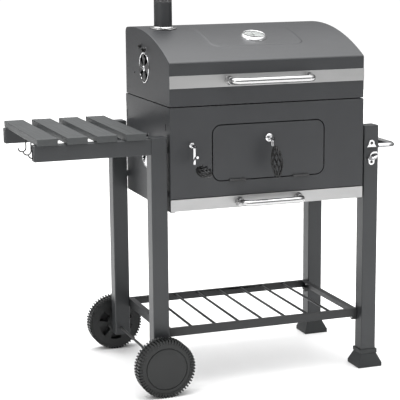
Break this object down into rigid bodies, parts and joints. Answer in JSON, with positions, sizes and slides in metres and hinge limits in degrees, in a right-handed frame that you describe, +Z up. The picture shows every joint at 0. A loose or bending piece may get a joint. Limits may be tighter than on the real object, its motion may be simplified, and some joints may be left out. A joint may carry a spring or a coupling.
{
  "type": "charcoal barbecue trolley",
  "caption": "Charcoal barbecue trolley: hinged barrel lid with chimney and thermometer, crank-lifted coal tray, loading door, ash drawer, slatted side table, push bar and wheels.",
  "frame": {"origin": "on the ground, under the middle of the whole trolley's footprint", "axes": "+Z up, front towards -Y, push bar towards +X, side table towards -X"},
  "size_m": [1.1634, 0.6758, 1.1603],
  "materials": {
    "anthracite_paint": "satin",
    "slate_painted_wood": "satin paint",
    "black_plastic": "matte",
    "black_wire": "satin",
    "chrome_trim": "polished",
    "brushed_stainless": "brushed",
    "plain_steel": "plain",
    "black_steel": "satin",
    "black_enamel": "enamel",
    "grate_iron": "matte enamel",
    "gauge_glass": "clear"
  },
  "bodies": {
    "base": {"front_panel": "anthracite_paint", "rear_panel": "anthracite_paint", "side_panel_left": "anthracite_paint", "side_panel_right": "anthracite_paint", "cooking_grate_left": "grate_iron", "cooking_grate_right": "grate_iron", "door_hinge_left": "anthracite_paint", "door_hinge_right": "anthracite_paint", "rack_guide_front": "black_steel", "rack_guide_rear": "black_steel", "body_hinge_left": "black_steel", "body_hinge_right": "black_steel", "leg_front_left": "anthracite_paint", "leg_rear_left": "anthracite_paint", "leg_front_right": "anthracite_paint", "leg_rear_right": "anthracite_paint", "foot_front_right": "black_plastic", "foot_rear_right": "black_plastic", "axle": "plain_steel", "wire_shelf": "anthracite_paint", "table_rail_front": "anthracite_paint", "table_rail_rear": "anthracite_paint", "table_slat_1": "slate_painted_wood", "table_slat_2": "slate_painted_wood", "table_slat_3": "slate_painted_wood", "table_slat_4": "slate_painted_wood", "table_hook_1": "black_wire", "table_hook_2": "black_wire", "table_hook_3": "black_wire", "push_bar": "chrome_trim", "bottle_opener": "chrome_trim"},
    "lid": {"lid": "anthracite_paint", "lid_band": "brushed_stainless", "lid_handle": "chrome_trim", "thermometer_case": "chrome_trim", "thermometer_lens": "gauge_glass", "chimney_flange": "chrome_trim", "chimney_pipe": "anthracite_paint", "lid_hinge_left": "black_steel", "lid_hinge_right": "black_steel"},
    "chimney_shutter": {"chimney_cap": "chrome_trim"},
    "needle": {"thermometer_needle": "black_wire"},
    "lid_vent": {"lid_vent_disc": "chrome_trim", "lid_vent_knob": "black_plastic"},
    "body_vent": {"body_vent_disc": "chrome_trim", "body_vent_knob": "black_plastic"},
    "door": {"loading_door": "anthracite_paint"},
    "latch": {"door_latch": "chrome_trim", "latch_grip": "black_wire"},
    "crank": {"crank": "chrome_trim", "crank_grip": "black_wire", "pinion_front": "plain_steel", "pinion_rear": "plain_steel"},
    "lift": {"lift_carriage": "plain_steel", "charcoal_tray": "black_enamel"},
    "drawer": {"ash_drawer": "anthracite_paint", "drawer_front": "brushed_stainless", "drawer_handle": "chrome_trim"},
    "front_wheel": {"wheel_front": "black_plastic"},
    "rear_wheel": {"wheel_rear": "black_plastic"}
  },
  "joints": [
    {"name": "lid_hinge", "type": "hinge", "parent": "base", "child": "lid", "pos_m": [0.13775, 0.2583, 0.8515], "axis": [-1, 0, 0], "range_deg": [0, 90]},
    {"name": "chimney_cap_turn", "type": "hinge", "parent": "lid", "child": "chimney_shutter", "pos_m": [-0.09625, 0.1004, 1.0615], "axis": [0, 0, 1], "range_deg": [0, 11.25]},
    {"name": "needle_turn", "type": "hinge", "parent": "lid", "child": "needle", "pos_m": [0.14525, -0.03818, 1.03649], "axis": [0, 0.2747, -0.9615], "range_deg": [0, 270], "stiffness_Nm_per_rad": 0.0005},
    {"name": "lid_vent_turn", "type": "hinge", "parent": "lid", "child": "lid_vent", "pos_m": [-0.17225, 0.0574, 0.948], "axis": [-1, 0, 0], "range_deg": [0, 40]},
    {"name": "body_vent_turn", "type": "hinge", "parent": "base", "child": "body_vent", "pos_m": [-0.17225, 0.0444, 0.6895], "axis": [-1, 0, 0], "range_deg": [0, 40]},
    {"name": "door_hinge", "type": "hinge", "parent": "base", "child": "door", "pos_m": [0.13775, -0.1835, 0.6275], "axis": [1, 0, 0], "range_deg": [0, 55]},
    {"name": "latch_turn", "type": "hinge", "parent": "door", "child": "latch", "pos_m": [0.13775, -0.1796, 0.748], "axis": [0, -1, 0], "range_deg": [0, 90]},
    {"name": "tray_lift", "type": "slide", "parent": "base", "child": "lift", "axis": [0, 0, 1], "range_m": [0, 0.055]},
    {"name": "crank_turn", "type": "hinge", "parent": "base", "child": "crank", "pos_m": [-0.10675, -0.1796, 0.739], "axis": [0, 1, 0], "range_deg": [0, 211]},
    {"name": "drawer_slide", "type": "slide", "parent": "base", "child": "drawer", "axis": [0, -1, 0], "range_m": [0, 0.3]},
    {"name": "wheel_front_spin", "type": "hinge", "parent": "base", "child": "front_wheel", "pos_m": [-0.20925, -0.2136, 0.088], "axis": [0, 1, 0], "continuous": true},
    {"name": "wheel_rear_spin", "type": "hinge", "parent": "base", "child": "rear_wheel", "pos_m": [-0.20925, 0.3169, 0.088], "axis": [0, 1, 0], "continuous": true}
  ],
  "couplings": [
    {"joint": "crank_turn", "follows": "tray_lift", "rad_per_m": 66.667}
  ]
}
